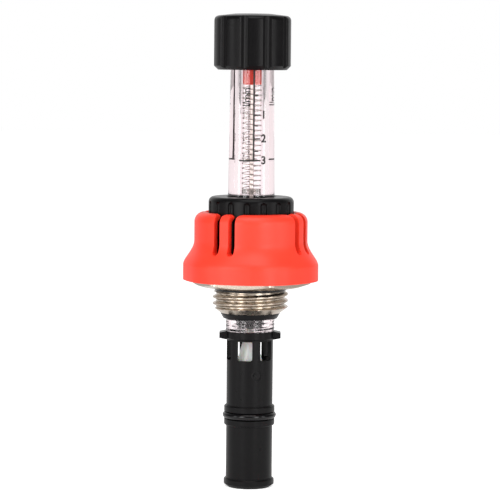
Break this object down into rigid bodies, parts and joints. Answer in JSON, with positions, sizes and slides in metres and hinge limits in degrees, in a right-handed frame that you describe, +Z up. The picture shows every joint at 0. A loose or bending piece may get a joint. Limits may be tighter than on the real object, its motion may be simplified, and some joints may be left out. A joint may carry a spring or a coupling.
{
  "type": "rotameter",
  "caption": "Screw-in manifold flow meter: threaded hexagon body, lock ring, handwheel, clear sight tube with sprung indicator, and outlet tube with a cone.",
  "frame": {"origin": "on the meter's axis at the top of the outside thread, 1.4 mm under the hexagon's seat", "axes": "+Z up along the axis towards the cap; the scale is read from -Y"},
  "size_m": [0.0376, 0.0372, 0.1314],
  "materials": {
    "nickel_brass": "nickel plated, bright",
    "seal_rubber": "smooth black rubber",
    "black_polyamide": "black glass-filled nylon, soft sheen",
    "clear_polyamide": "clear, polished",
    "grey_plastic": "smooth grey plastic",
    "red_indicator": "smooth red plastic",
    "red_plastic": "satin signal red plastic",
    "white_plastic": "white plastic",
    "steel": "stainless steel"
  },
  "bodies": {
    "body": {"threaded_body": "nickel_brass", "body_seal": "seal_rubber", "gland_bush": "black_polyamide", "gland_seal": "seal_rubber"},
    "insert": {"outlet_tube": "black_polyamide", "outlet_seal": "seal_rubber"},
    "regulator": {"sight_tube": "clear_polyamide", "stem_seal": "seal_rubber", "rod_guide": "black_polyamide", "handwheel": "black_polyamide", "top_plug": "grey_plastic", "top_plug_seal": "seal_rubber", "return_spring": "steel"},
    "plunger": {"indicator": "red_indicator", "indicator_rod": "steel", "baffle_cone": "white_plastic", "cone_nut": "steel"},
    "ring": {"lock_ring": "red_plastic"},
    "knob": {"cap": "black_polyamide"}
  },
  "joints": [
    {"name": "insert_lift", "type": "slide", "parent": "body", "child": "insert", "axis": [0, 0, 1], "range_m": [0, 0.003]},
    {"name": "regulator_turn", "type": "hinge", "parent": "insert", "child": "regulator", "pos_m": [0, 0, 0], "axis": [0, 0, 1], "range_deg": [0, 866]},
    {"name": "indicator_slide", "type": "slide", "parent": "regulator", "child": "plunger", "axis": [0, 0, -1], "range_m": [0, 0.021], "stiffness_N_per_m": 20, "springref_m": -0.006, "deforming": ["return_spring"]},
    {"name": "cap_pull", "type": "slide", "parent": "regulator", "child": "knob", "axis": [0, 0, 1], "range_m": [0, 0.016]},
    {"name": "lock_ring_lift", "type": "slide", "parent": "body", "child": "ring", "axis": [0, 0, 1], "range_m": [0, 0.0045]}
  ],
  "couplings": [
    {"joint": "regulator_turn", "follows": "insert_lift", "rad_per_m": 5026.5}
  ]
}
